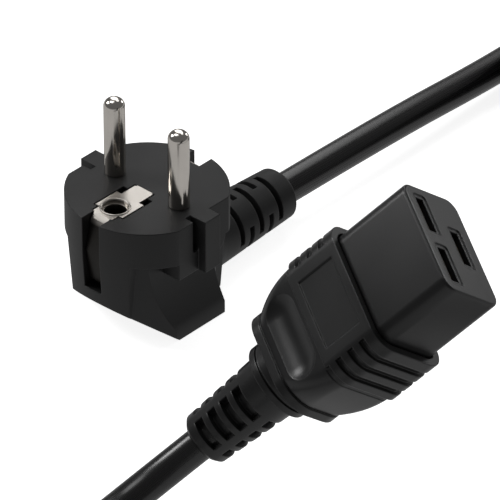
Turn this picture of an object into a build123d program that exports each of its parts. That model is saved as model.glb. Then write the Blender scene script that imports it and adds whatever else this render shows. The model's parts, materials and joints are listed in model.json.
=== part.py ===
from build123d import *
from math import cos, pi, radians, sin, tan
import os

# Power cord: a right-angle earthed two-pin plug (CEE 7/7, type E/F), a three-core
# sheathed cord, and a 16 A appliance connector (IEC C19).
# Millimetres. The plug stands on its flat back with the pins straight up (+Z), and the
# cord leaves it along +X. The origin is on the back, under the middle of the two pins.

# Plug: face and pins, from the plug standard
face_height = 29.5
disc_radius = 18.0
skirt_depth = 9.0
flat_offset = 16.4
pin_pitch = 19.0
pin_radius = 2.4
pin_length = 19.0
pin_neck_radius = 2.2
pin_neck_rise = 0.2
crown_radius = 1.9
earth_pin_offset = 10.0

# Plug: guide plates and ribs on the two flats
plate_depth = 13.0
plate_start = -7.4
plate_end = 8.4
plate_root = 10.5
plate_corner = 4.0
rib_start = -1.3
rib_end = 3.3
rib_height = 2.1
groove_width = 1.7
groove_depth = 8.0
groove_floor = 2.4
notch_offset = 15.3

# Plug: lower body, finger grips and lip
spine_half_width = 9.2
spine_taper = 3.5
grip_radius = 14.8
lip_start = -7.5
lip_end = 8.0
lip_reach = 15.5
lip_height = 3.0
hollow_reach = 11.0
slant_start = -6.5
slant_rise = 8.0
slant_run = 10.0

# Plug: clip slots beside the earth strip
slot_half_width = 2.5
slot_inner = 13.8
near_slot_floor = 11.5
far_slot_floor = 17.5

# Strain reliefs, the same pattern on both ends
cord_radius = 3.7
cord_clearance = 0.1
plug_boot_axis = 7.4
plug_boot_end = 42.4
plug_boot_root = 12.0
boot_root_radius = 7.25
boot_end_radius = 6.1
neck_radius = 8.6
neck_length = 6.0
boot_edge = 0.8
plug_sheath_start = 24.4
flex_slot_width = 1.5
flex_slot_depth = 1.9
flex_slot_arc = 118.0
flex_slot_turn = 134.5
flex_slot_pitch = 3.3
flex_slot_first = 22.4
flex_slot_count = 5

# Plug: insert, pin tails and earth parts
insert_front = 24.6
insert_depth = 8.1
insert_half_width = 3.6
tongue_start = -13.0
tongue_half_width = 5.2
collar_radius = 3.2
collar_depth = 1.5
collar_back = 17.5
tail_radius = 1.9
tail_end = 11.0
strip_thickness = 0.8
strip_half_width = 2.25
plate_half_width = 4.0
plate_near = -11.9
plate_far = -5.3
tab_near = -14.0
tab_near_half = 2.8
tab_far = -1.0
tab_far_half = 2.6
clip_bulge = 16.6
clip_bulge_height = 21.0
clip_foot = 15.4
near_clip_end = 13.0
far_clip_end = 18.5
pocket_gap = 0.35
pocket_depth = 2.2
earth_hole_radius = 2.9
socket_bore = 2.5
socket_wall = 0.7
socket_end = 13.0

# Cores: a copper conductor in an insulating tube
conductor_radius = 0.75
core_radius = 1.4
core_ring = 1.75
stripped_length = 4.0

# Connector: place of the cord end of its strain relief, and the way it points
connector_x = -44.4
connector_y = -58.0
connector_z = 14.5
connector_azimuth = -48.8
connector_pitch = 44.8
connector_roll = 30.0

# Connector: nose, housing and shoulder, measured from the cord end of the strain relief
connector_length = 71.5
nose_width = 28.0
nose_height = 18.3
nose_corner = 3.2
nose_length = 18.7
nose_root = 9.0
nose_edge = 0.6
housing_width = 32.4
housing_height = 22.6
housing_corner = 5.2
housing_length = 13.5
rim_gap = 0.45
rim_gap_depth = 1.6
housing_edge = 0.6
ridge_step = 0.8
shoulder_length = 13.3
dome_length = 4.5
dome_width = 27.8
dome_height = 20.0
shoulder_width = 24.8
shoulder_height = 18.8
shoulder_corner = 6.6
flange_width = 25.6
flange_height = 19.6
flange_length = 2.0
flange_corner = 7.0
collar_length = 4.6
collar_width = 18.0
collar_height = 16.4
collar_groove = 0.5
sheath_setback = 3.4
grip_groove_count = 4
grip_groove_pitch = 3.3
grip_groove_first = 2.6
grip_groove_width = 1.5
grip_groove_depth = 1.0
grip_groove_wrap = 4.2
panel_width = 17.0
panel_length = 9.5
panel_depth = 0.3
dish_radius = 8.0
dish_length = 12.0
dish_offset = 5.8
dish_depth = 1.1

# Connector: windows in the strain relief
window_count = 4
window_columns = 4
window_first = 4.0
window_margin = 2.2
window_share = 0.605
window_depth = 1.7
window_arc = 70.0
window_turn = -62.0

# Connector: contact slots and contacts
blade_width = 8.0
blade_thickness = 2.0
blade_clearance = 0.3
live_pitch = 13.0
live_offset = -4.4
earth_offset = 3.6
slot_surround = 0.9
slot_surround_depth = 0.25
nose_face_wall = 1.6
contact_length = 15.0
contact_wall = 0.6
contact_play = 0.15
contact_gap = 1.6
contact_cell_gap = 0.2
crimp_length = 6.0
crimp_radius = 1.45

# Cord: the coil that takes up its length, its tie, and the route to and from it
bend_share = 0.45
turn_radius = 40.0
turn_count = 5.46
turn_columns = 3
turn_layers = 2
coil_x = 142.0
coil_play = 0.4
tie_width = 6.0
tie_thickness = 0.8
floor_gap = 0.2
plug_route = [(70.0, 0.0, plug_boot_axis), (118.0, -0.4, 4.2)]
connector_route = [
    (106.0, -107.1, 5.4),
    (52.6, -113.0, 3.9),
    (-1.2, -124.4, 3.9),
    (-51.0, -128.8, 3.9),
    (-83.0, -127.7, 3.9),
    (-105.6, -105.1, 3.9),
    (-105.8, -73.1, 3.9),
    (-83.0, -50.5, 3.9),
]
last_bend_reach = 14.0

conductors = ("line", "neutral", "earth")
skirt_bottom = face_height - skirt_depth
insert_back = insert_front - insert_depth
clip_top = face_height - strip_thickness / 2
strip_level = insert_front + strip_thickness / 2


def direction(azimuth, pitch):
    """Unit vector with this heading on the floor and this climb."""
    flat = cos(radians(pitch))
    return Vector(flat * cos(radians(azimuth)), flat * sin(radians(azimuth)), sin(radians(pitch)))


def connector_axes():
    """The connector's long axis, its wide direction and its thin direction."""
    nose = direction(connector_azimuth, connector_pitch)
    level = Vector(-sin(radians(connector_azimuth)), cos(radians(connector_azimuth)), 0)
    upright = nose.cross(level)
    roll = radians(connector_roll)
    wide = (level * cos(roll) + upright * sin(roll)) * -1
    return nose, wide, nose.cross(wide)


nose_dir, wide_dir, thin_dir = connector_axes()
connector_end = Vector(connector_x, connector_y, connector_z)
connector_plane = Plane(origin=connector_end, x_dir=wide_dir, z_dir=nose_dir)
# Positions along the connector, from the cord end of its strain relief
rim_level = connector_length - nose_length
ridge_level = rim_level - housing_length
shoulder_level = ridge_level - shoulder_length
boot_level = shoulder_level - collar_length
connector_sheath_start = boot_level - sheath_setback
window_pitch = (boot_level - window_first - window_margin) / window_count
window_length = window_share * window_pitch


def core_path(points, bend):
    """Bent path of one core."""
    with BuildLine(mode=Mode.PRIVATE) as path:
        FilletPolyline(*points, radius=bend)
    return path.line


def wire_along(points, bend, radius, bore=0.0):
    """Round wire, or a tube when it has a bore, along the path."""
    path = core_path(points, bend)
    with BuildPart(mode=Mode.PRIVATE) as wire:
        with BuildSketch(Plane(origin=path @ 0, z_dir=path % 0)):
            Circle(radius)
            if bore:
                Circle(bore, mode=Mode.SUBTRACT)
        sweep(path=path)
    return wire.part


def write(part, name):
    """Label a finished piece and write it."""
    part.label = name
    export_step(part, f"parts/{name}.step")
    print(f"{name:28s} {part.volume:10.1f} mm3, {len(part.solids())} solid")


os.makedirs("parts", exist_ok=True)

# Cores of the plug: they fan out from the sheath to the pin tails and the earth tail
core_angles = {"line": 210, "neutral": 330, "earth": 90}
core_spots = {n: (core_ring * cos(radians(a)), core_ring * sin(radians(a))) for n, a in core_angles.items()}
core_bend = 2.2
core_low = 5.6
core_lead = 4.0
plug_terminals = {
    "line": (0, -pin_pitch / 2),
    "neutral": (0, pin_pitch / 2),
    "earth": (tab_far, 0),
}
plug_fan = {"line": (10.0, -2.4, 6.2), "neutral": (10.0, 2.4, 6.2), "earth": (9.0, 0, 9.0)}
plug_wires = {}
plug_insulation = {}
for name, (across, up) in core_spots.items():
    x, y = plug_terminals[name]
    start = (plug_sheath_start, across, plug_boot_axis + up)
    bend = (plug_sheath_start - core_lead, across, plug_boot_axis + up)
    route = [start, bend, plug_fan[name], (x, y, core_low)]
    plug_wires[name] = wire_along(
        route + [(x, y, tail_end + stripped_length)], core_bend, conductor_radius
    )
    plug_insulation[name] = wire_along(
        route + [(x, y, tail_end)], core_bend, core_radius, conductor_radius
    )
    write(plug_wires[name], f"plug_conductor_{name}")
    write(plug_insulation[name], f"plug_insulation_{name}")


def contact_pin(y):
    """Turned pin: crowned shaft, neck and collar inside the insert, and a tail with a blind bore."""
    top = face_height + pin_length
    collar_front = collar_back + collar_depth
    with BuildPart(mode=Mode.PRIVATE) as pin:
        with BuildSketch(Plane.XZ.offset(-y)):
            with BuildLine():
                Polyline(
                    (pin_radius - crown_radius, top),
                    (0, top),
                    (0, tail_end + stripped_length),
                    (conductor_radius, tail_end + stripped_length),
                    (conductor_radius, tail_end),
                    (tail_radius, tail_end),
                    (tail_radius, collar_back),
                    (collar_radius, collar_back),
                    (collar_radius, collar_front),
                    (pin_neck_radius, collar_front),
                    (pin_neck_radius, face_height + pin_neck_rise),
                    (pin_radius, face_height + pin_neck_rise),
                    (pin_radius, top - crown_radius),
                )
                RadiusArc(
                    (pin_radius, top - crown_radius),
                    (pin_radius - crown_radius, top),
                    -crown_radius,
                )
            make_face()
        revolve(axis=Axis((0, y, 0), (0, 0, 1)))
    return pin.part


pins = {"line": contact_pin(-pin_pitch / 2), "neutral": contact_pin(pin_pitch / 2)}
for name, pin in pins.items():
    write(pin, f"pin_{name}")

# Earth strip: one stamped and bent piece with a sprung clip at each end, a flat plate
# round the earth hole and a tail that takes the earth conductor
with BuildPart() as earth_strip:
    with BuildSketch(Plane.XZ):
        with BuildLine():
            Polyline(
                (clip_foot * -1, near_clip_end),
                (-clip_bulge, clip_bulge_height),
                (tab_near - strip_thickness, clip_top - strip_thickness),
                (tab_near, clip_top),
                (tab_far, clip_top),
                (tab_far, strip_level),
                (clip_foot - strip_thickness, strip_level),
                (clip_foot - strip_thickness / 2, clip_top - strip_thickness),
            )
        trace(line_width=strip_thickness)
        with BuildLine():
            Polyline(
                (clip_foot - 2 * strip_thickness, strip_level),
                (clip_foot - strip_thickness / 2, strip_level),
                (clip_bulge, clip_bulge_height),
                (clip_foot, far_clip_end),
            )
        trace(line_width=strip_thickness)
        with BuildLine():
            Line((tab_far, strip_level), (tab_far, tail_end + stripped_length - strip_thickness))
        trace(line_width=strip_thickness)
    extrude(amount=strip_half_width, both=True)
    with BuildSketch(Plane.XY.offset(face_height - strip_thickness)):
        with Locations(((plate_near + plate_far) / 2, 0)):
            Rectangle(plate_far - plate_near, 2 * plate_half_width)
        with Locations(((tab_near + plate_near) / 2, 0)):
            Rectangle(plate_near - tab_near, 2 * tab_near_half)
        with Locations(((plate_far + tab_far) / 2, 0)):
            Rectangle(tab_far - plate_far, 2 * tab_far_half)
    extrude(amount=strip_thickness)
    with BuildSketch(Plane.XY.offset(tail_end)):
        with Locations((tab_far, 0)):
            Circle(tail_radius)
    extrude(amount=stripped_length)
    with BuildSketch(Plane.XY.offset(tail_end)):
        with Locations((tab_far, 0)):
            Circle(conductor_radius)
    extrude(amount=stripped_length, mode=Mode.SUBTRACT)
    with BuildSketch(Plane.XY.offset(face_height)):
        with Locations((-earth_pin_offset, 0)):
            Circle(earth_hole_radius)
    extrude(amount=-2 * strip_thickness, mode=Mode.SUBTRACT)
write(earth_strip.part, "earth_strip")

# Earth socket: the sleeve under the plate that takes the earth pin of a type E outlet
socket_top = face_height - strip_thickness
with BuildPart() as earth_socket:
    with BuildSketch(Plane.XY.offset(socket_end)):
        with Locations((-earth_pin_offset, 0)):
            Circle(socket_bore + socket_wall)
            Circle(socket_bore, mode=Mode.SUBTRACT)
    extrude(amount=socket_top - socket_end)
write(earth_socket.part, "earth_socket")

# Insert: the hard moulding that holds both pins, the strip and the socket in line
with BuildPart() as plug_insert:
    with BuildSketch(Plane.XY.offset(insert_back)):
        SlotCenterToCenter(pin_pitch, 2 * insert_half_width, rotation=90)
        with Locations((tongue_start / 2, 0)):
            Rectangle(-tongue_start, 2 * tongue_half_width)
    extrude(amount=insert_depth)
    for pin in pins.values():
        add(pin, mode=Mode.SUBTRACT)
    add(earth_strip.part, mode=Mode.SUBTRACT)
    with BuildSketch(Plane.XY.offset(insert_back)):
        with Locations((-earth_pin_offset, 0)):
            Circle(socket_bore + socket_wall)
    extrude(amount=insert_depth, mode=Mode.SUBTRACT)
write(plug_insert.part, "plug_insert")


def arc_sector(inner, outer, middle, span):
    """Sketch of a ring sector, its middle at this angle."""
    far = 2 * outer
    corners = [(0, 0)]
    for step in range(5):
        angle = radians(middle - span / 2 + span * step / 4)
        corners.append((far * cos(angle), far * sin(angle)))
    Circle(outer)
    Circle(inner, mode=Mode.SUBTRACT)
    Polygon(*corners, align=None, mode=Mode.INTERSECT)


def boot_plane(x):
    """Section plane across the plug's strain relief, its first axis along +Y."""
    return Plane(origin=(x, 0, plug_boot_axis), x_dir=(0, 1, 0), z_dir=(1, 0, 0))


def boot_radius_at(share):
    """Radius of a strain relief, from 0 at its root to 1 at its cord end."""
    return boot_root_radius + (boot_end_radius - boot_root_radius) * share


def finger_grips():
    """Back of the plug between its skirt and its lip, hollowed on both sides for the fingers."""
    spine_inset = skirt_bottom * tan(radians(spine_taper))
    crease_x = spine_inset - (disc_radius**2 - spine_half_width**2) ** 0.5
    crease_y = spine_half_width - spine_inset
    hollow_drop = skirt_bottom - lip_height
    hollow_rise = lip_reach - hollow_reach
    hollow_radius = (hollow_drop**2 + hollow_rise**2) / (2 * hollow_rise)
    with BuildPart(mode=Mode.PRIVATE) as grips:
        with BuildSketch(Plane.XY):
            Circle(grip_radius)
            Polygon(
                (crease_x, crease_y),
                (lip_start, lip_reach),
                (lip_end, lip_reach),
                (lip_end, -lip_reach),
                (lip_start, -lip_reach),
                (crease_x, -crease_y),
                align=None,
            )
        extrude(amount=skirt_bottom)
        for side in (-1, 1):
            with BuildSketch(Plane.YZ.offset(-disc_radius)):
                with Locations((side * (hollow_reach + hollow_radius), skirt_bottom)):
                    Circle(hollow_radius)
            extrude(amount=2 * disc_radius, mode=Mode.SUBTRACT)
    return grips.part


# Plug body: one soft moulding round the insert, with its strain relief
with BuildPart() as plug_body:
    # Skirt: the round front with two flats, guide ribs and a step beside each rib
    with BuildSketch(Plane.XY.offset(face_height)):
        Circle(disc_radius)
        Rectangle(2 * disc_radius, 2 * flat_offset, mode=Mode.INTERSECT)
        for side in (-1, 1):
            with Locations(((rib_end + disc_radius) / 2, side * (notch_offset + disc_radius) / 2)):
                Rectangle(disc_radius - rib_end, disc_radius - notch_offset, mode=Mode.SUBTRACT)
    extrude(amount=-skirt_depth)
    # Guide plates on the flats, and their ribs
    for side in (-1, 1):
        with BuildSketch(Plane.XZ.offset(-side * plate_root)) as plate:
            with Locations(((plate_start + plate_end) / 2, face_height - plate_depth / 2)):
                Rectangle(plate_end - plate_start, plate_depth)
            fillet(plate.vertices().group_by(Axis.Y)[0].sort_by(Axis.X)[-1], plate_corner)
        extrude(amount=-side * (notch_offset - plate_root))
        with BuildSketch(Plane.XZ.offset(-side * notch_offset)):
            with Locations(((plate_start + rib_end) / 2, face_height - plate_depth / 2)):
                Rectangle(rib_end - plate_start, plate_depth)
        extrude(amount=-side * (flat_offset - notch_offset))
        with BuildSketch(Plane.XZ.offset(-side * flat_offset)):
            with Locations(((rib_start + rib_end) / 2, face_height - plate_depth / 2)):
                Rectangle(rib_end - rib_start, plate_depth)
        extrude(amount=-side * rib_height)
    # Spine: full depth under the front, narrowing a little to the back
    with BuildSketch(Plane.XY.offset(skirt_bottom)):
        Circle(disc_radius)
        Rectangle(2 * disc_radius, 2 * spine_half_width, mode=Mode.INTERSECT)
    extrude(amount=-skirt_bottom, taper=spine_taper)
    add(finger_grips())
    # Strain relief: a neck out of the body, then the tapered boot
    with BuildSketch(Plane.XZ):
        with BuildLine():
            Polyline(
                (plug_boot_root, plug_boot_axis),
                (plug_boot_root, plug_boot_axis + neck_radius),
                (plug_boot_root + neck_length, plug_boot_axis + boot_root_radius),
                (plug_boot_end - boot_edge, plug_boot_axis + boot_end_radius),
                (plug_boot_end, plug_boot_axis + boot_end_radius - boot_edge),
                (plug_boot_end, plug_boot_axis),
                close=True,
            )
        make_face()
    revolve(axis=Axis((0, 0, plug_boot_axis), (1, 0, 0)))
    # Nothing below the back, and the back's far end slants up
    with BuildSketch(Plane.XY):
        Rectangle(4 * plug_boot_end, 4 * disc_radius)
    extrude(amount=-disc_radius, mode=Mode.SUBTRACT)
    with BuildSketch(Plane.XZ):
        with BuildLine():
            Polyline(
                (slant_start, 0),
                (slant_start - 2 * slant_run, 2 * slant_rise),
                (slant_start - 2 * slant_run, 0),
                close=True,
            )
        make_face()
    extrude(amount=disc_radius, both=True, mode=Mode.SUBTRACT)
    # Slots for the sprung earth clips
    with BuildSketch(Plane.XZ):
        with Locations((-(slot_inner + disc_radius) / 2, (near_slot_floor + face_height) / 2)):
            Rectangle(disc_radius - slot_inner + 1, face_height - near_slot_floor)
        with Locations(((slot_inner + disc_radius) / 2, (far_slot_floor + face_height) / 2)):
            Rectangle(disc_radius - slot_inner, face_height - far_slot_floor)
    extrude(amount=slot_half_width, both=True, mode=Mode.SUBTRACT)
    # Pocket round the earth plate, and the way into the socket
    with BuildSketch(Plane.XY.offset(face_height)):
        with Locations(((plate_near + plate_far) / 2 + pocket_gap * 3, 0)):
            Rectangle(plate_far - plate_near + 8 * pocket_gap, 2 * (plate_half_width + pocket_gap))
        with Locations(((tab_near + plate_near) / 2, 0)):
            Rectangle(plate_near - tab_near, 2 * (tab_near_half + pocket_gap))
        with Locations(((plate_far + tab_far) / 2, 0)):
            Rectangle(tab_far - plate_far + 2 * pocket_gap, 2 * (tab_far_half + pocket_gap))
    extrude(amount=-pocket_depth, mode=Mode.SUBTRACT)
    with BuildSketch(Plane.XY.offset(face_height)):
        with Locations((-earth_pin_offset, 0)):
            Circle(socket_bore)
    extrude(amount=socket_end - face_height, mode=Mode.SUBTRACT)
    # Grooves beside the ribs
    for side in (-1, 1):
        with BuildSketch(Plane.XZ.offset(-side * (flat_offset + rib_height))):
            with Locations((rib_start - groove_width / 2, face_height)):
                SlotOverall(2 * groove_depth, groove_width, rotation=90)
        extrude(amount=side * (groove_floor + rib_height), mode=Mode.SUBTRACT)
    # Staggered slots that let the boot bend
    boot_start = plug_boot_root + neck_length
    for ring in range(flex_slot_count):
        start = flex_slot_first + ring * flex_slot_pitch
        radius = boot_radius_at((start - boot_start) / (plug_boot_end - boot_start))
        for half in (0, 180):
            with BuildSketch(boot_plane(start)):
                arc_sector(
                    radius - flex_slot_depth,
                    boot_root_radius + 1,
                    flex_slot_turn + 90 * (ring % 2) + half,
                    flex_slot_arc,
                )
            extrude(amount=flex_slot_width, mode=Mode.SUBTRACT)
    # The cord's way in, then everything that the moulding is cast round
    with BuildSketch(boot_plane(plug_boot_end)):
        Circle(cord_radius + cord_clearance)
    extrude(amount=plug_sheath_start - plug_boot_end, mode=Mode.SUBTRACT)
    for held in [plug_insert.part, earth_socket.part, earth_strip.part, *pins.values()]:
        add(held, mode=Mode.SUBTRACT)
    for name in conductors:
        add(plug_insulation[name], mode=Mode.SUBTRACT)
        add(plug_wires[name], mode=Mode.SUBTRACT)
write(plug_body.part, "plug_body")


def across(level):
    """Plane across the connector at this distance from the cord end of its strain relief."""
    return connector_plane.offset(level)


def at_connector(wide, thin, level):
    """World position of a point given in the connector's own directions."""
    return connector_plane.from_local_coords(Vector(wide, thin, level))


# Contact places in the nose: across its wide and its thin direction
contact_spots = {
    "line": (-live_pitch / 2, live_offset),
    "neutral": (live_pitch / 2, live_offset),
    "earth": (0, earth_offset),
}
contact_inner_width = blade_width + 2 * contact_play
contact_inner_height = blade_thickness + 2 * contact_play
contact_front = connector_length - nose_face_wall - contact_cell_gap
contact_back = contact_front - contact_length
crimp_back = contact_back - crimp_length
nose_back = rim_level - nose_root

# Cores of the connector: from the sheath to the crimps
connector_wires = {}
connector_insulation = {}
connector_bend = 5.0
fan_start = boot_level + collar_length
fan_end = nose_back - connector_bend
for name, (wide, thin) in core_spots.items():
    to_wide, to_thin = contact_spots[name]
    route = [
        at_connector(wide, thin, connector_sheath_start),
        at_connector(wide, thin, fan_start),
        at_connector(to_wide, to_thin, fan_end),
    ]
    wire_end = at_connector(to_wide, to_thin, crimp_back + stripped_length)
    tube_end = at_connector(to_wide, to_thin, crimp_back)
    connector_wires[name] = wire_along(route + [wire_end], connector_bend, conductor_radius)
    connector_insulation[name] = wire_along(
        route + [tube_end], connector_bend, core_radius, conductor_radius
    )
    write(connector_wires[name], f"connector_conductor_{name}")
    write(connector_insulation[name], f"connector_insulation_{name}")


def blade_contact(wide, thin):
    """Rolled sheet sleeve for one blade, with a seam, and its crimp barrel."""
    outer_width = contact_inner_width + 2 * contact_wall
    outer_height = contact_inner_height + 2 * contact_wall
    seam_side = -1 if thin > 0 else 1
    with BuildPart(mode=Mode.PRIVATE) as contact:
        with BuildSketch(across(contact_back)):
            with Locations((wide, thin)):
                RectangleRounded(outer_width, outer_height, contact_wall)
        extrude(amount=contact_length)
        with BuildSketch(across(contact_back + contact_wall)):
            with Locations((wide, thin)):
                Rectangle(contact_inner_width, contact_inner_height)
            with Locations((wide, thin + seam_side * outer_height / 2)):
                Rectangle(contact_gap, 3 * contact_wall)
        extrude(amount=contact_length, mode=Mode.SUBTRACT)
        with BuildSketch(across(crimp_back)):
            with Locations((wide, thin)):
                Circle(crimp_radius)
        extrude(amount=crimp_length)
        with BuildSketch(across(crimp_back)):
            with Locations((wide, thin)):
                Circle(conductor_radius)
        extrude(amount=stripped_length, mode=Mode.SUBTRACT)
    return contact.part


contacts = {name: blade_contact(*spot) for name, spot in contact_spots.items()}
for name, contact in contacts.items():
    write(contact, f"contact_{name}")

# Nose: the hard block with the three blade slots, its root inside the housing
with BuildPart() as connector_nose:
    with BuildSketch(across(nose_back)):
        RectangleRounded(nose_width, nose_height, nose_corner)
    extrude(amount=connector_length - nose_back)
    front = connector_nose.faces().sort_by(Axis(connector_end, nose_dir))[-1]
    fillet(front.edges(), nose_edge)
    slot_width = blade_width + 2 * blade_clearance
    slot_height = blade_thickness + 2 * blade_clearance
    cell_width = contact_inner_width + 2 * contact_wall + 2 * contact_cell_gap
    cell_height = contact_inner_height + 2 * contact_wall + 2 * contact_cell_gap
    for wide, thin in contact_spots.values():
        with BuildSketch(across(connector_length)):
            with Locations((wide, thin)):
                RectangleRounded(
                    slot_width + 2 * slot_surround, slot_height + 2 * slot_surround, slot_surround
                )
        extrude(amount=-slot_surround_depth, mode=Mode.SUBTRACT)
        with BuildSketch(across(connector_length)):
            with Locations((wide, thin)):
                Rectangle(slot_width, slot_height)
        extrude(amount=-nose_face_wall, mode=Mode.SUBTRACT)
        with BuildSketch(across(connector_length - nose_face_wall)):
            with Locations((wide, thin)):
                Rectangle(cell_width, cell_height)
        extrude(amount=nose_back - connector_length + nose_face_wall, mode=Mode.SUBTRACT)
write(connector_nose.part, "connector_nose")

# Connector body: the soft moulding round the nose's root, with its strain relief
side_plane = Plane(origin=connector_end, x_dir=nose_dir, z_dir=thin_dir)
with BuildPart() as connector_body:
    # Housing and the shoulder behind its ridge
    with BuildSketch(across(ridge_level)):
        RectangleRounded(housing_width, housing_height, housing_corner)
    extrude(amount=housing_length)
    with BuildSketch(across(ridge_level)):
        RectangleRounded(
            housing_width - 2 * ridge_step, housing_height - 2 * ridge_step, housing_corner - ridge_step
        )
    with BuildSketch(across(shoulder_level + flange_length + dome_length)):
        RectangleRounded(dome_width, dome_height, housing_corner - ridge_step)
    with BuildSketch(across(shoulder_level + flange_length)):
        RectangleRounded(shoulder_width, shoulder_height, shoulder_corner)
    loft()
    # Flange, collar and boot
    with BuildSketch(across(shoulder_level)):
        RectangleRounded(flange_width, flange_height, flange_corner)
    extrude(amount=flange_length)
    with BuildSketch(across(boot_level)):
        Ellipse(collar_width / 2, collar_height / 2)
    extrude(amount=collar_length)
    with BuildSketch(across(boot_level + collar_length / 3)):
        Ellipse(collar_width / 2 + 1, collar_height / 2 + 1)
        Ellipse(collar_width / 2 - collar_groove, collar_height / 2 - collar_groove, mode=Mode.SUBTRACT)
    extrude(amount=collar_groove, mode=Mode.SUBTRACT)
    with BuildSketch(side_plane):
        with BuildLine():
            Polyline(
                (0, 0),
                (0, boot_end_radius - boot_edge),
                (boot_edge, boot_end_radius),
                (boot_level, boot_root_radius),
                (boot_level, 0),
                close=True,
            )
        make_face()
    revolve(axis=Axis(connector_end, nose_dir))
    # Shallow finger dish on each broad side of the shoulder
    for side in (-1, 1):
        dish_plane = Plane(
            origin=at_connector(0, side * (dome_height / 2 - dish_depth + dish_radius), ridge_level - dish_offset),
            x_dir=wide_dir,
            z_dir=thin_dir,
        )
        with BuildSketch(dish_plane):
            SlotCenterToCenter(dish_length, 2 * dish_radius)
            with Locations((0, dish_radius)):
                Rectangle(dish_length + 4 * dish_radius, 2 * dish_radius, mode=Mode.INTERSECT)
        revolve(axis=Axis(dish_plane.origin, wide_dir), mode=Mode.SUBTRACT)
    # Grip grooves on the narrow sides, panels on the broad sides
    for step in range(grip_groove_count):
        level = rim_level - grip_groove_first - grip_groove_width - step * grip_groove_pitch
        with BuildSketch(across(level)):
            Rectangle(housing_width + 2, housing_height + 2)
            RectangleRounded(
                housing_width - 2 * grip_groove_depth,
                housing_height - 2 * grip_groove_depth,
                housing_corner - grip_groove_depth,
                mode=Mode.SUBTRACT,
            )
            Rectangle(
                housing_width - 2 * grip_groove_wrap, housing_height + 4, mode=Mode.SUBTRACT
            )
        extrude(amount=grip_groove_width, mode=Mode.SUBTRACT)
    for side in (-1, 1):
        with BuildSketch(across(ridge_level + (housing_length - panel_length) / 2)):
            with Locations((0, side * housing_height / 2)):
                Rectangle(panel_width, 2 * panel_depth)
        extrude(amount=panel_length, mode=Mode.SUBTRACT)
    # Windows that let the boot bend
    for ring in range(window_count):
        start = window_first + ring * window_pitch - window_length / 2
        radius = boot_radius_at(1 - start / boot_level)
        for column in range(window_columns):
            with BuildSketch(across(start)):
                arc_sector(
                    radius - window_depth,
                    boot_root_radius + 1,
                    window_turn + 360 * column / window_columns,
                    window_arc,
                )
            extrude(amount=window_length, mode=Mode.SUBTRACT)
    # The cord's way in, the gap round the nose, and what the moulding is cast round
    with BuildSketch(across(0)):
        Circle(cord_radius + cord_clearance)
    extrude(amount=connector_sheath_start, mode=Mode.SUBTRACT)
    with BuildSketch(across(rim_level)):
        RectangleRounded(nose_width + 2 * rim_gap, nose_height + 2 * rim_gap, nose_corner + rim_gap)
    extrude(amount=-rim_gap_depth, mode=Mode.SUBTRACT)
    with BuildSketch(across(nose_back)):
        RectangleRounded(nose_width, nose_height, nose_corner)
    extrude(amount=nose_root + housing_edge, mode=Mode.SUBTRACT)
    for name in conductors:
        add(connector_insulation[name], mode=Mode.SUBTRACT)
        add(connector_wires[name], mode=Mode.SUBTRACT)
write(connector_body.part, "connector_body")

# Cord: every bend as large as its two runs allow
outer_turn = turn_radius + (turn_columns - 1) * cord_radius
coil_centre = Vector(coil_x, plug_route[-1][1] - outer_turn, 0)
coil_bottom = floor_gap + tie_thickness
lower_turn = coil_bottom + coil_play + cord_radius
upper_turn = lower_turn + (turn_layers - 1) * 2 * cord_radius
leave_angle = 90 - 360 * turn_count


def cord_tube(points, name):
    """Tube along the route, each arc as large as its two runs allow."""
    corners = [Vector(*p) for p in points]
    radii = []
    for before, corner, after in zip(corners, corners[1:], corners[2:]):
        run_in, run_out = corner - before, after - corner
        half_turn = radians(run_in.get_angle(run_out)) / 2
        radii.append(bend_share * min(run_in.length, run_out.length) / tan(half_turn))
    print(name, "radii", [round(r, 1) for r in radii])
    with BuildLine(mode=Mode.PRIVATE) as path:
        FilletPolyline(*corners, radius=radii)
    with BuildPart(mode=Mode.PRIVATE) as tube:
        with BuildSketch(Plane(origin=path.line @ 0, z_dir=path.line % 0)):
            Circle(cord_radius)
        sweep(path=path.line)
    length = path.wire().length
    share = tube.part.volume / (pi * cord_radius**2 * length)
    print(name, "length", round(length, 1), "volume over section times length", round(share, 4))
    return tube.part, length


coil_start = (coil_centre.X, coil_centre.Y + outer_turn, lower_turn)
coil_leave = coil_centre + Vector(
    outer_turn * cos(radians(leave_angle)), outer_turn * sin(radians(leave_angle)), upper_turn
)
plug_tube, plug_tube_length = cord_tube(
    [(plug_sheath_start, 0, plug_boot_axis), *plug_route, coil_start], "cord_plug_side"
)
last_bend = connector_end - nose_dir * last_bend_reach
sheath_end = connector_end + nose_dir * connector_sheath_start
connector_tube, connector_tube_length = cord_tube(
    [coil_leave, *connector_route, last_bend, sheath_end], "cord_connector_side"
)
write(plug_tube, "cord_plug_side")
write(connector_tube, "cord_connector_side")

# Coil: the outer shape of the turns, and the strap that holds them
band_half_width = turn_columns * cord_radius + coil_play
band_height = 2 * (cord_radius * turn_layers + coil_play)
band_level = coil_bottom + band_height / 2
band_corner = cord_radius + coil_play
with BuildPart() as cord_coil:
    with BuildSketch(Plane(origin=coil_centre, x_dir=(1, 0, 0), z_dir=(0, -1, 0))):
        with Locations((turn_radius, band_level)):
            RectangleRounded(2 * band_half_width, band_height, band_corner)
    revolve(axis=Axis(coil_centre, (0, 0, 1)))
    add(plug_tube, mode=Mode.SUBTRACT)
    add(connector_tube, mode=Mode.SUBTRACT)
write(cord_coil.part, "cord_coil")

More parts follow.
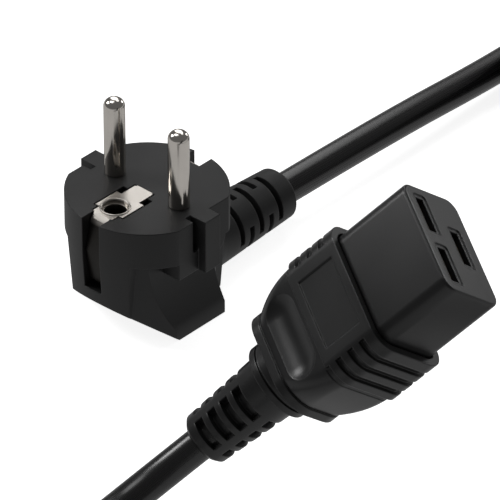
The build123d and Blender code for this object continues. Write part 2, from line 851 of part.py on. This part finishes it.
with BuildPart() as cord_tie:
    with BuildSketch(Plane(origin=coil_centre, x_dir=(1, 0, 0), z_dir=(0, -1, 0))):
        with Locations((turn_radius, band_level)):
            RectangleRounded(
                2 * (band_half_width + tie_thickness),
                band_height + 2 * tie_thickness,
                band_corner + tie_thickness,
            )
            RectangleRounded(2 * band_half_width, band_height, band_corner, mode=Mode.SUBTRACT)
    extrude(amount=tie_width / 2, both=True)
    add(cord_coil.part, mode=Mode.SUBTRACT)
write(cord_tie.part, "cord_tie")

coil_length = turn_count * 2 * pi * turn_radius
print("cord length", round(plug_tube_length + coil_length + connector_tube_length))
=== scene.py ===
import json
from math import cos, floor, pi, radians, sin

import bmesh
import bpy
from bpy.props import FloatProperty, FloatVectorProperty, IntProperty, PointerProperty
from mathutils import Matrix, Vector


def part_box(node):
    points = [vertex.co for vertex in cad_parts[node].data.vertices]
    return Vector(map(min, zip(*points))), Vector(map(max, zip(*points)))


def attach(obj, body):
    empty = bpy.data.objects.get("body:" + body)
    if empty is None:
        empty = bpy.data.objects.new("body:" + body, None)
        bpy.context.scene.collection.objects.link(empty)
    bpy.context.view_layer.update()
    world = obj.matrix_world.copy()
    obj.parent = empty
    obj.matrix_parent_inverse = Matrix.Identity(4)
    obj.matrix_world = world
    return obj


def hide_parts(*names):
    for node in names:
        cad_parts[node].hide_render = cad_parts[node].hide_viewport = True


bl_info = {
    "name": "Power cord",
    "version": (1, 0, 0),
    "blender": (4, 5, 0),
    "location": "3D View > Sidebar > Power cord",
    "description": "Finishes a power cord with a right-angle plug and an appliance connector",
    "category": "Object",
}

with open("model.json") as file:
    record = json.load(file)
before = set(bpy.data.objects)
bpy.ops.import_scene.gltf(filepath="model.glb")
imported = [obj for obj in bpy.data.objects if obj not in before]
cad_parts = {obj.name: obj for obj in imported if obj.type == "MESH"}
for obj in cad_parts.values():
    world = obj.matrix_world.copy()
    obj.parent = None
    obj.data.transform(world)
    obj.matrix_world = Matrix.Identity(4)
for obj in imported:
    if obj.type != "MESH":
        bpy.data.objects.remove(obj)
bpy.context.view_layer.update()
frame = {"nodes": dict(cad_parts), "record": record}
MM = 0.001
CONDUCTORS = ("line", "neutral", "earth")
UP = Vector((0, 0, 1))
PLUG_FACE = 29.5 * MM

# Most of the noise's values lie between these two
NOISE_LOW = 0.3
NOISE_HIGH = 0.7


def frame_point(name):
    """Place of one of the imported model's mounts."""
    mounts = frame["record"]["mounts"]
    return Vector(next(m["pos_m"] for m in mounts if m["name"] == name))


def frame_axis(name):
    """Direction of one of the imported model's mounts."""
    mounts = frame["record"]["mounts"]
    return Vector(next(m["axis"] for m in mounts if m["name"] == name)).normalized()


# The connector's front and back on its long axis
NOSE_FACE = frame_point("appliance_side")
NOSE_DIR = frame_axis("appliance_side")
CONNECTOR_LENGTH = 71.5 * MM
CONNECTOR_END = NOSE_FACE - NOSE_DIR * CONNECTOR_LENGTH


def length_property(name, description, default):
    """Setting in metres."""
    return FloatProperty(name=name, description=description, default=default, unit="LENGTH")


def angle_property(name, description, degrees):
    """Setting that shows in degrees."""
    return FloatProperty(
        name=name, description=description, default=radians(degrees), subtype="ANGLE"
    )


def colour_property(name, description, default):
    """Setting of a colour."""
    return FloatVectorProperty(
        name=name, description=description, default=default, subtype="COLOR", size=3
    )


class StageSettings(bpy.types.PropertyGroup):
    """Camera, lights and floor."""

    turn: angle_property("Turn", "Heading of the camera's view", 47.5)
    height: angle_property("Height", "Angle of the view above the floor", 34.5)
    distance: length_property("Distance", "From the plug's face to the camera", 1.5)
    scale: length_property("Scale", "Width of the view at the plug's face", 0.10823)
    right: length_property("Right", "Middle of the view, right of the plug's face", 0.0223)
    down: length_property("Down", "Middle of the view, below the plug's face", 0.0134)
    floor_colour: colour_property("Floor", "Colour of the floor", (0.93, 0.93, 0.93))


class CordSettings(bpy.types.PropertyGroup):
    """Sizes of the cord and of its coil."""

    diameter: length_property("Diameter", "Thickness of the jacket", 7.4 * MM)
    coil_radius: length_property("Coil radius", "Radius of the middle turns", 40 * MM)
    coil_turns: FloatProperty(name="Turns", description="Turns of the coil", default=5.46)
    turn_pitch: length_property("Turn pitch", "From one turn to the next", 7.5 * MM)
    turn_points: IntProperty(name="Points", description="Route points in each turn", default=16)
    colour: colour_property("Colour", "Colour of the jacket", (0.006, 0.006, 0.0062))


class FinishSettings(bpy.types.PropertyGroup):
    """Colours of the mouldings and of the metal."""

    moulding: colour_property("Moulding", "Colour of the soft mouldings", (0.0075, 0.0075, 0.0078))
    nose: colour_property("Nose", "Colour of the connector's hard nose", (0.008, 0.008, 0.0083))
    plating: colour_property("Plating", "Colour of the nickel plating", (0.72, 0.68, 0.63))
    edge: length_property("Edge", "Rounding of the moulded edges", 0.38 * MM)


# Materials


def node_tree(name):
    """New material with an empty tree, its shader and its output."""
    material = bpy.data.materials.new(name)
    material.use_nodes = True
    tree = material.node_tree
    tree.nodes.clear()
    output = tree.nodes.new("ShaderNodeOutputMaterial")
    shader = tree.nodes.new("ShaderNodeBsdfPrincipled")
    tree.links.new(shader.outputs["BSDF"], output.inputs["Surface"])
    return material, tree, shader


def object_noise(tree, scale, detail=3.0, stretch=(1.0, 1.0, 1.0)):
    """Noise over the object's own coordinates."""
    coordinates = tree.nodes.new("ShaderNodeTexCoord")
    mapping = tree.nodes.new("ShaderNodeMapping")
    mapping.inputs["Scale"].default_value = stretch
    noise = tree.nodes.new("ShaderNodeTexNoise")
    noise.inputs["Scale"].default_value = scale
    noise.inputs["Detail"].default_value = detail
    tree.links.new(coordinates.outputs["Object"], mapping.inputs["Vector"])
    tree.links.new(mapping.outputs["Vector"], noise.inputs["Vector"])
    return noise.outputs["Fac"]


def spread(tree, value, low, high):
    """The noise mapped onto a range."""
    node = tree.nodes.new("ShaderNodeMapRange")
    node.inputs["From Min"].default_value = NOISE_LOW
    node.inputs["From Max"].default_value = NOISE_HIGH
    node.inputs["To Min"].default_value = low
    node.inputs["To Max"].default_value = high
    tree.links.new(value, node.inputs["Value"])
    return node.outputs["Result"]


def tint(tree, value, colour, dark, light):
    """The colour between a darker and a lighter shade of it."""
    node = tree.nodes.new("ShaderNodeMix")
    node.data_type = "RGBA"
    node.inputs["A"].default_value = (*shade(colour, dark), 1)
    node.inputs["B"].default_value = (*shade(colour, light), 1)
    tree.links.new(spread(tree, value, 0.0, 1.0), node.inputs["Factor"])
    return node.outputs["Result"]


def grain(tree, height, depth, edge=0.0):
    """Bump of the surface grain, over edges that are rounded a little."""
    bump = tree.nodes.new("ShaderNodeBump")
    bump.inputs["Distance"].default_value = depth
    bump.inputs["Strength"].default_value = 1.0
    tree.links.new(height, bump.inputs["Height"])
    if edge:
        rounding = tree.nodes.new("ShaderNodeBevel")
        rounding.samples = 8
        rounding.inputs["Radius"].default_value = edge
        tree.links.new(rounding.outputs["Normal"], bump.inputs["Normal"])
    return bump.outputs["Normal"]


def shade(colour, factor):
    """The colour made lighter or darker."""
    return tuple(channel * factor for channel in colour)


def moulded_plastic(name, colour, rough, edge, grain_depth=4e-6):
    """Satin moulded plastic with a fine even grain and faint flow marks."""
    material, tree, shader = node_tree(name)
    flow = object_noise(tree, 55.0, 2.0, (1.0, 1.0, 0.35))
    fine = object_noise(tree, 5200.0, 2.0)
    tree.links.new(tint(tree, flow, colour, 0.9, 1.12), shader.inputs["Base Color"])
    tree.links.new(spread(tree, flow, rough - 0.03, rough + 0.04), shader.inputs["Roughness"])
    tree.links.new(grain(tree, fine, grain_depth, edge), shader.inputs["Normal"])
    shader.inputs["IOR"].default_value = 1.5
    return material


def plated_metal(name, colour, rough):
    """Bright plating with faint drawing marks along the part."""
    material, tree, shader = node_tree(name)
    cloud = object_noise(tree, 160.0, 2.0)
    drawn = object_noise(tree, 900.0, 2.0, (1.0, 1.0, 0.05))
    tree.links.new(tint(tree, cloud, colour, 0.93, 1.04), shader.inputs["Base Color"])
    tree.links.new(spread(tree, cloud, rough - 0.02, rough + 0.04), shader.inputs["Roughness"])
    tree.links.new(grain(tree, drawn, 1.5e-6), shader.inputs["Normal"])
    shader.inputs["Metallic"].default_value = 1.0
    return material


def strip_metal_painted_shade(name, colour, unshaded_above, painted_shade_below):
    """Stamped plating, bright on the face, with painted shade that darkens it in the slots and the
    socket under it.
    """
    material, tree, shader = node_tree(name)
    coordinates = tree.nodes.new("ShaderNodeTexCoord")
    split = tree.nodes.new("ShaderNodeSeparateXYZ")
    # Painted shade: the plating fades from bright at the face to almost black lower down in the
    # slots and the socket
    level = tree.nodes.new("ShaderNodeMapRange")
    level.inputs["From Min"].default_value = painted_shade_below
    level.inputs["From Max"].default_value = unshaded_above
    tree.links.new(coordinates.outputs["Object"], split.inputs["Vector"])
    tree.links.new(split.outputs["Z"], level.inputs["Value"])
    # The clip on the cord's side is left out of the painted shade and stays bright all the way
    # down
    behind_from, behind_to = 4 * MM, 6 * MM
    behind = tree.nodes.new("ShaderNodeMapRange")
    behind.inputs["From Min"].default_value = behind_from
    behind.inputs["From Max"].default_value = behind_to
    unshaded_share = tree.nodes.new("ShaderNodeMath")
    unshaded_share.operation = "MAXIMUM"
    tree.links.new(split.outputs["X"], behind.inputs["Value"])
    tree.links.new(level.outputs["Result"], unshaded_share.inputs[0])
    tree.links.new(behind.outputs["Result"], unshaded_share.inputs[1])
    cloud = object_noise(tree, 260.0, 3.0)
    plating = tint(tree, cloud, colour, 0.9, 1.05)
    # Painted shade colour: the plating at a twentieth of its brightness
    painted_shade_blend = tree.nodes.new("ShaderNodeMix")
    painted_shade_blend.data_type = "RGBA"
    painted_shade_blend.inputs["A"].default_value = (*shade(colour, 0.05), 1)
    tree.links.new(unshaded_share.outputs["Value"], painted_shade_blend.inputs["Factor"])
    tree.links.new(plating, painted_shade_blend.inputs["B"])
    tree.links.new(painted_shade_blend.outputs["Result"], shader.inputs["Base Color"])
    tree.links.new(spread(tree, cloud, 0.32, 0.4), shader.inputs["Roughness"])
    tree.links.new(grain(tree, cloud, 6e-6, 0.12 * MM), shader.inputs["Normal"])
    shader.inputs["Metallic"].default_value = 1.0
    return material


def jacket_plastic(name, colour):
    """Extruded jacket: satin, with faint marks that run along the cord."""
    material, tree, shader = node_tree(name)
    uv = tree.nodes.new("ShaderNodeUVMap")
    mapping = tree.nodes.new("ShaderNodeMapping")
    mapping.inputs["Scale"].default_value = (3.0, 40.0, 1.0)
    noise = tree.nodes.new("ShaderNodeTexNoise")
    noise.inputs["Scale"].default_value = 4.0
    tree.links.new(uv.outputs["UV"], mapping.inputs["Vector"])
    tree.links.new(mapping.outputs["Vector"], noise.inputs["Vector"])
    fine = object_noise(tree, 3500.0, 2.0)
    marks = noise.outputs["Fac"]
    tree.links.new(tint(tree, marks, colour, 0.9, 1.1), shader.inputs["Base Color"])
    tree.links.new(spread(tree, marks, 0.24, 0.3), shader.inputs["Roughness"])
    tree.links.new(grain(tree, fine, 3e-6), shader.inputs["Normal"])
    shader.inputs["IOR"].default_value = 1.6
    return material


# Pieces from the frame's nodes


def set_material(piece, material):
    """The piece's only material."""
    piece.data.materials.clear()
    piece.data.materials.append(material)


def finished_mesh(name, builder, material, sharp=radians(30)):
    """Object of a closed mesh, smooth but for its sharp edges, that rides on the part."""
    for face in builder.faces:
        face.smooth = True
    for edge in builder.edges:
        edge.smooth = len(edge.link_faces) == 2 and edge.calc_face_angle(0.0) < sharp
    mesh = bpy.data.meshes.new(name)
    builder.to_mesh(mesh)
    builder.free()
    # Normals that came with the node's mesh would hide the edges set above
    for left in [a.name for a in mesh.attributes if a.name == "custom_normal"]:
        mesh.attributes.remove(mesh.attributes[left])
    piece = bpy.data.objects.new(name, mesh)
    bpy.context.scene.collection.objects.link(piece)
    set_material(piece, material)
    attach(piece, "root")
    return piece


def dressed_copy(node, name, material):
    """Merged copy of a node with smooth curved faces and sharp edges, in place of the node."""
    same_place = 2e-6
    builder = bmesh.new()
    builder.from_mesh(frame["nodes"][node].data)
    bmesh.ops.remove_doubles(builder, verts=builder.verts, dist=same_place)
    vectors = builder.loops.layers.float_vector
    for layer in list(vectors.keys()):
        vectors.remove(vectors[layer])
    piece = finished_mesh(name, builder, material)
    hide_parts(node)


def turned_piece(name, profile, centre, material, segments=64, closed=False):
    """Turned piece on an upright axis: its profile's points are radius and height."""
    builder = bmesh.new()
    turn = [2 * pi * step / segments for step in range(segments)]
    rings = []
    for radius, height in profile:
        axis = Vector((centre.x, centre.y, height))
        if radius == 0:
            rings.append([builder.verts.new(axis)])
        else:
            spokes = [Vector((cos(angle), sin(angle), 0)) for angle in turn]
            rings.append([builder.verts.new(axis + radius * spoke) for spoke in spokes])
    pairs = list(zip(rings, rings[1:]))
    if closed:
        pairs.append((rings[-1], rings[0]))
    for first, second in pairs:
        for step in range(segments):
            after = (step + 1) % segments
            corners = [first[step % len(first)], first[after % len(first)]]
            corners += [second[after % len(second)], second[step % len(second)]]
            builder.faces.new(list(dict.fromkeys(corners)))
    bmesh.ops.recalc_face_normals(builder, faces=builder.faces)
    return finished_mesh(name, builder, material)


def pin_profile(face):
    """Outline of a pin from its crown down to its tail, and up into the tail's bore."""
    radius, crown, top = 2.4 * MM, 1.9 * MM, face + 19.0 * MM
    neck_radius, neck_top = 2.2 * MM, face + 0.2 * MM
    collar = [(2.2, 19.0), (3.2, 19.0), (3.2, 17.5), (1.9, 17.5)]
    tail_and_bore = [(1.9, 11.0), (0.75, 11.0), (0.75, 15.0), (0, 15.0)]
    crown_steps = 14
    arc = [pi / 2 * step / crown_steps for step in range(crown_steps + 1)]
    points = [(0, top)]
    points += [(radius - crown + crown * sin(a), top - crown + crown * cos(a)) for a in arc]
    points += [(radius, neck_top), (neck_radius, neck_top)]
    points += [(r * MM, z * MM) for r, z in collar + tail_and_bore]
    return points


# Cord


def cord_route(settings):
    """Route of the cord in metres, from inside the plug to inside the connector."""
    from_plug = [(24.4, 0.0, 7.4), (74.0, 0.0, 7.2), (118.0, -0.4, 4.9)]
    to_connector = [
        (106.0, -107.1, 5.4),
        (52.6, -113.0, 3.9),
        (-1.2, -124.4, 3.9),
        (-51.0, -128.8, 3.9),
        (-83.0, -127.7, 3.9),
        (-105.6, -105.1, 3.9),
        (-105.8, -73.1, 3.9),
        (-83.0, -53.5, 3.9),
    ]
    last_bend_reach = 14.0 * MM
    sheath_start = 18.0 * MM
    route = [Vector(point) * MM for point in from_plug]
    route += coil_turns(settings)
    route += [Vector(point) * MM for point in to_connector]
    route.append(CONNECTOR_END - NOSE_DIR * last_bend_reach)
    route.append(CONNECTOR_END + NOSE_DIR * sheath_start)
    return route


def eased(value):
    """From 0 to 1 with soft ends, held outside that range."""
    value = min(max(value, 0.0), 1.0)
    return value * value * (3 - 2 * value)


def coil_turns(settings):
    """Points of the coil: three columns in on the lower layer, then three out on the upper."""
    centre = Vector((142.0, -47.8, 0)) * MM
    low = 5.1 * MM
    # In turns from the coil's start: each step inwards, the climb, and each step outwards
    columns_in = 2.0
    inward_from, inward_share = 0.7, 0.28
    climb_from, climb_share = 2.5, 0.42
    outward_from, outward_share = 3.18, 0.28
    outer = settings.coil_radius + settings.turn_pitch
    polygon = 1 / cos(pi / settings.turn_points)
    points = []
    for step in range(int(settings.coil_turns * settings.turn_points) + 1):
        turn = step / settings.turn_points
        inwards = columns_in
        if turn < columns_in:
            inwards = floor(turn) + eased((turn % 1 - inward_from) / inward_share)
        climb = eased((turn - climb_from) / climb_share)
        outwards = 0.0
        if turn > outward_from:
            after = turn - outward_from
            outwards = min(floor(after) + eased(after % 1 / outward_share), columns_in)
        radius = (outer - settings.turn_pitch * (inwards - outwards)) * polygon
        angle = pi / 2 - 2 * pi * turn
        height = low + settings.turn_pitch * climb
        points.append(centre + Vector((radius * cos(angle), radius * sin(angle), height)))
    return points


def smooth_curve(name, points, radius):
    """Curve object with one NURBS spline along the control points."""
    curve = bpy.data.curves.new(name, "CURVE")
    curve.dimensions = "3D"
    curve.resolution_u = 8
    curve.bevel_depth = radius
    curve.bevel_resolution = 7
    curve.use_fill_caps = True
    spline = curve.splines.new("NURBS")
    spline.points.add(len(points) - 1)
    for point, place in zip(spline.points, points):
        point.co = (*place, 1)
    spline.order_u = 3
    spline.use_endpoint_u = True
    piece = bpy.data.objects.new(name, curve)
    bpy.context.scene.collection.objects.link(piece)
    return piece


class CORD_OT_lay_cord(bpy.types.Operator):
    """Lay the cord from the plug, round its coil and to the connector"""

    bl_idname = "power_cord.lay_cord"
    bl_label = "Lay the cord"

    def execute(self, context):
        settings = context.scene.cord_settings
        cord = smooth_curve("cord_jacket", cord_route(settings), settings.diameter / 2)
        cord.data.materials.append(jacket_plastic("cord jacket", settings.colour))
        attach(cord, "root")
        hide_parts("cord_plug_side", "cord_coil", "cord_connector_side")
        return {"FINISHED"}


class CORD_OT_finish_plug(bpy.types.Operator):
    """Finish the plug's moulding, pins, earth strip and earth socket"""

    bl_idname = "power_cord.finish_plug"
    bl_label = "Finish the plug"

    def execute(self, context):
        finish = context.scene.finish_settings
        black = moulded_plastic("plug moulding", finish.moulding, 0.52, finish.edge)
        nickel = plated_metal("pin plating", finish.plating, 0.14)
        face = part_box("plug_body")[1].z
        strip_colour = shade(finish.plating, 0.82)
        # This plating has painted shade below the face, in the strip's slots and in the socket's
        # bore
        stamped_with_painted_shade = strip_metal_painted_shade("strip plating with painted shade", strip_colour, face - 0.4 * MM, face - 2.4 * MM)
        dressed_copy("plug_body", "plug_moulding", black)
        for name in ("line", "neutral"):
            pin = turned_piece(
                f"plug_pin_{name}", pin_profile(face), frame_point(f"pin_{name}"), nickel
            )
            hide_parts(f"pin_{name}")
        dressed_copy("earth_strip", "plug_earth_strip", stamped_with_painted_shade)
        dressed_copy("earth_socket", "plug_earth_socket", stamped_with_painted_shade)
        hole = frame_point("earth_pin_socket")
        rim = [(2.95, -0.3), (2.95, 0.1), (3.05, 0.22), (3.2, 0.26)]
        rim += [(3.35, 0.2), (3.45, 0.05), (3.5, -0.3)]
        profile = [(radius * MM, face + rise * MM) for radius, rise in rim]
        eyelet = turned_piece(
            "plug_earth_eyelet", profile, hole, stamped_with_painted_shade, segments=48, closed=True
        )
        insert = moulded_plastic("insert plastic", (0.05, 0.05, 0.05), 0.5, finish.edge)
        set_material(frame["nodes"]["plug_insert"], insert)
        return {"FINISHED"}


class CORD_OT_finish_connector(bpy.types.Operator):
    """Finish the connector's moulding, nose and contacts"""

    bl_idname = "power_cord.finish_connector"
    bl_label = "Finish the connector"

    def execute(self, context):
        finish = context.scene.finish_settings
        black = moulded_plastic("connector moulding", finish.moulding, 0.32, finish.edge)
        hard = moulded_plastic("nose plastic", finish.nose, 0.32, finish.edge)
        brass = plated_metal("contact brass", (0.75, 0.58, 0.3), 0.3)
        dressed_copy("connector_body", "connector_moulding", black)
        dressed_copy("connector_nose", "connector_front", hard)
        for name in CONDUCTORS:
            set_material(frame["nodes"][f"contact_{name}"], brass)
        return {"FINISHED"}


def rib_tree():
    """Ribs across a strap, spaced evenly along its path."""
    tree = bpy.data.node_groups.new("strap ribs", "GeometryNodeTree")
    tree.interface.new_socket(name="Path", in_out="INPUT", socket_type="NodeSocketGeometry")
    for name in ("Pitch", "Width", "Radius"):
        tree.interface.new_socket(name=name, in_out="INPUT", socket_type="NodeSocketFloat")
    tree.interface.new_socket(name="Material", in_out="INPUT", socket_type="NodeSocketMaterial")
    tree.interface.new_socket(name="Ribs", in_out="OUTPUT", socket_type="NodeSocketGeometry")
    entry = tree.nodes.new("NodeGroupInput")
    line = tree.nodes.new("GeometryNodeMeshToCurve")
    spaced = tree.nodes.new("GeometryNodeResampleCurve")
    spaced.mode = "LENGTH"
    bar = tree.nodes.new("GeometryNodeMeshCylinder")
    bar.inputs["Vertices"].default_value = 8
    scatter = tree.nodes.new("GeometryNodeInstanceOnPoints")
    scatter.inputs["Rotation"].default_value = (pi / 2, 0, 0)
    real = tree.nodes.new("GeometryNodeRealizeInstances")
    dress = tree.nodes.new("GeometryNodeSetMaterial")
    leave = tree.nodes.new("NodeGroupOutput")
    for start, end in (
        (entry.outputs["Path"], line.inputs["Mesh"]),
        (line.outputs["Curve"], spaced.inputs["Curve"]),
        (entry.outputs["Pitch"], spaced.inputs["Length"]),
        (spaced.outputs["Curve"], scatter.inputs["Points"]),
        (entry.outputs["Width"], bar.inputs["Depth"]),
        (entry.outputs["Radius"], bar.inputs["Radius"]),
        (bar.outputs["Mesh"], scatter.inputs["Instance"]),
        (scatter.outputs["Instances"], real.inputs["Geometry"]),
        (real.outputs["Geometry"], dress.inputs["Geometry"]),
        (entry.outputs["Material"], dress.inputs["Material"]),
        (dress.outputs["Geometry"], leave.inputs["Ribs"]),
    ):
        tree.links.new(start, end)
    return tree


def baked(carrier, tree, values):
    """Plain mesh of a node tree's result on the carrier, with these inputs."""
    modifier = carrier.modifiers.new("nodes", "NODES")
    modifier.node_group = tree
    for socket in tree.interface.items_tree:
        if socket.in_out == "INPUT" and socket.name in values:
            modifier[socket.identifier] = values[socket.name]
    carrier.update_tag()
    graph = bpy.context.evaluated_depsgraph_get()
    mesh = bpy.data.meshes.new_from_object(carrier.evaluated_get(graph), depsgraph=graph)
    carrier.modifiers.remove(modifier)
    return mesh


def strap_path(inset):
    """Loop of points round the strap, this far inside its outer face."""
    low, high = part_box("cord_tie")
    corner, corner_steps = 4.9 * MM, 8
    reach = corner - inset
    middle = (low.y + high.y) / 2
    right, left = high.x - corner, low.x + corner
    upper, lower = high.z - corner, low.z + corner
    corners = ((right, upper), (left, upper), (left, lower), (right, lower))
    points = []
    for quarter, (x, z) in enumerate(corners):
        for step in range(corner_steps + 1):
            angle = pi / 2 * (quarter + step / corner_steps)
            points.append((x + reach * cos(angle), middle, z + reach * sin(angle)))
    return points


class CORD_OT_rib_strap(bpy.types.Operator):
    """Cover the coil's strap with its woven ribs"""

    bl_idname = "power_cord.rib_strap"
    bl_label = "Rib the strap"

    def execute(self, context):
        sunk, pitch, side_margin, radius = 0.1 * MM, 0.9 * MM, 0.3 * MM, 0.25 * MM
        points = strap_path(sunk)
        edges = [(i, (i + 1) % len(points)) for i in range(len(points))]
        mesh = bpy.data.meshes.new("strap path")
        mesh.from_pydata(points, edges, [])
        carrier = bpy.data.objects.new("strap path", mesh)
        context.scene.collection.objects.link(carrier)
        strap = moulded_plastic("strap ribs", (0.02, 0.02, 0.02), 0.6, 0.0, 2e-5)
        low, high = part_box("cord_tie")
        width = high.y - low.y - 2 * side_margin
        values = {"Pitch": pitch, "Width": width, "Radius": radius, "Material": strap}
        ribs = bpy.data.objects.new("strap_ribs", baked(carrier, rib_tree(), values))
        context.scene.collection.objects.link(ribs)
        bpy.data.objects.remove(carrier)
        if not ribs.data.polygons:
            raise RuntimeError("the strap has no ribs")
        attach(ribs, "root")
        return {"FINISHED"}


class CORD_OT_finish_cores(bpy.types.Operator):
    """Finish the cores inside both ends, and the coil's strap"""

    bl_idname = "power_cord.finish_cores"
    bl_label = "Finish the cores"

    def execute(self, context):
        brown, blue, green_yellow = (0.2, 0.08, 0.03), (0.03, 0.13, 0.45), (0.35, 0.5, 0.06)
        copper = plated_metal("copper", (0.8, 0.42, 0.25), 0.3)
        for name, colour in zip(CONDUCTORS, (brown, blue, green_yellow)):
            insulation = moulded_plastic(f"insulation {name}", colour, 0.45, 0.0)
            for end in ("plug", "connector"):
                set_material(frame["nodes"][f"{end}_insulation_{name}"], insulation)
                set_material(frame["nodes"][f"{end}_conductor_{name}"], copper)
        strap = moulded_plastic("strap", (0.015, 0.015, 0.015), 0.6, 0.0, 2e-5)
        set_material(frame["nodes"]["cord_tie"], strap)
        return {"FINISHED"}


# Stage


def area_light(name, target, offset, width, length, power, along=UP):
    """Soft light that faces the target from this offset, its length turned along a direction."""
    light = bpy.data.lights.new(name, "AREA")
    light.shape = "RECTANGLE"
    light.size = width
    light.size_y = length
    light.energy = power
    facing = offset.normalized()
    side = along.cross(facing).normalized()
    lamp = bpy.data.objects.new(name, light)
    turn = Matrix((side, facing.cross(side), facing)).transposed().to_4x4()
    lamp.matrix_world = Matrix.Translation(target + offset) @ turn
    bpy.context.scene.collection.objects.link(lamp)


class CORD_OT_set_stage(bpy.types.Operator):
    """Set the camera, the lights and the floor"""

    bl_idname = "power_cord.set_stage"
    bl_label = "Set the stage"

    def execute(self, context):
        stage = context.scene.stage_settings
        away = Vector((sin(stage.turn), cos(stage.turn), 0))
        right = Vector((cos(stage.turn), -sin(stage.turn), 0))
        back = UP * sin(stage.height) - away * cos(stage.height)
        up = back.cross(right)
        target = UP * PLUG_FACE + right * stage.right - up * stage.down
        camera_data = bpy.data.cameras.new("camera")
        camera = bpy.data.objects.new("camera", camera_data)
        camera_data.sensor_fit = "HORIZONTAL"
        camera_data.lens = camera_data.sensor_width * stage.distance / stage.scale
        camera_data.clip_start = 0.05
        place = target + back * stage.distance
        turn = Matrix((right, up, back)).transposed().to_4x4()
        camera.matrix_world = Matrix.Translation(place) @ turn
        context.scene.collection.objects.link(camera)
        context.scene.camera = camera
        make_floor(stage)
        make_lights(target, away, right)
        return {"FINISHED"}


def make_floor(stage):
    """Pale floor, bright to the eye and dimmer in reflections."""
    seen_glow, reflected_glow = 0.86, 0.46
    bpy.ops.mesh.primitive_plane_add(size=6.0, location=(0, 0, 0))
    ground = bpy.context.object
    ground.name = "floor"
    material, tree, shader = node_tree("floor")
    shader.inputs["Base Color"].default_value = (*stage.floor_colour, 1)
    shader.inputs["Roughness"].default_value = 0.9
    shader.inputs["Specular IOR Level"].default_value = 0.0
    shader.inputs["Emission Color"].default_value = (1, 1, 1, 1)
    shader.inputs["Emission Strength"].default_value = seen_glow
    dim = tree.nodes.new("ShaderNodeEmission")
    dim.inputs["Strength"].default_value = reflected_glow
    path = tree.nodes.new("ShaderNodeLightPath")
    mix = tree.nodes.new("ShaderNodeMixShader")
    output = next(n for n in tree.nodes if n.type == "OUTPUT_MATERIAL")
    tree.links.new(path.outputs["Is Camera Ray"], mix.inputs[0])
    tree.links.new(dim.outputs["Emission"], mix.inputs[1])
    tree.links.new(shader.outputs["BSDF"], mix.inputs[2])
    tree.links.new(mix.outputs["Shader"], output.inputs["Surface"])
    ground.data.materials.append(material)


def make_lights(target, away, right):
    """Soft lights above, behind and at both sides, and a pale world."""
    # Turned so that the upper cord mirrors the whole length of the light
    over_cord = right * 0.62 - away * 0.57 + UP * 0.54
    world_glow = 0.13
    top = UP * 1.3 - right * 0.4 + away * 0.35
    left = UP * 0.8 - right + away * 0.35
    behind = UP * 1.09 + right * 0.19 + away * 1.15
    low_right = UP * 0.4 + right * 0.9 + away * 0.8
    area_light("top light", target, top, 0.6, 0.6, 3.2)
    area_light("left light", target, left, 0.4, 0.4, 5.0)
    area_light("back light", target, behind, 0.35, 1.6, 3.9, over_cord)
    area_light("right light", target, low_right, 0.3, 0.3, 1.6)
    world = bpy.data.worlds.new("studio")
    bpy.context.scene.world = world
    world.use_nodes = True
    background = world.node_tree.nodes["Background"]
    background.inputs["Color"].default_value = (1, 1, 1, 1)
    background.inputs["Strength"].default_value = world_glow
    bpy.context.scene.view_settings.view_transform = "Standard"


class CORD_PT_panel(bpy.types.Panel):
    """Steps that finish the power cord"""

    bl_label = "Power cord"
    bl_idname = "CORD_PT_panel"
    bl_space_type = "VIEW_3D"
    bl_region_type = "UI"
    bl_category = "Power cord"

    def draw(self, context):
        for operator in OPERATORS:
            self.layout.operator(operator.bl_idname)
        scene = context.scene
        for group in (scene.stage_settings, scene.cord_settings, scene.finish_settings):
            box = self.layout.box()
            for name in group.bl_rna.properties.keys():
                if name not in ("rna_type", "name"):
                    box.prop(group, name)


GROUPS = (StageSettings, CordSettings, FinishSettings)
OPERATORS = (
    CORD_OT_set_stage,
    CORD_OT_finish_plug,
    CORD_OT_finish_connector,
    CORD_OT_rib_strap,
    CORD_OT_lay_cord,
    CORD_OT_finish_cores,
)


def register():
    """Add the classes and the scene's settings."""
    for item in (*GROUPS, *OPERATORS, CORD_PT_panel):
        bpy.utils.register_class(item)
    bpy.types.Scene.stage_settings = PointerProperty(type=StageSettings)
    bpy.types.Scene.cord_settings = PointerProperty(type=CordSettings)
    bpy.types.Scene.finish_settings = PointerProperty(type=FinishSettings)


def unregister():
    """Take the settings and the classes away again."""
    del bpy.types.Scene.finish_settings
    del bpy.types.Scene.cord_settings
    del bpy.types.Scene.stage_settings
    for item in reversed((*GROUPS, *OPERATORS, CORD_PT_panel)):
        bpy.utils.unregister_class(item)


def main():
    """Take every step in order."""
    register()
    for operator in OPERATORS:
        group, name = operator.bl_idname.split(".")
        getattr(getattr(bpy.ops, group), name)()


if __name__ == "__main__":
    main()
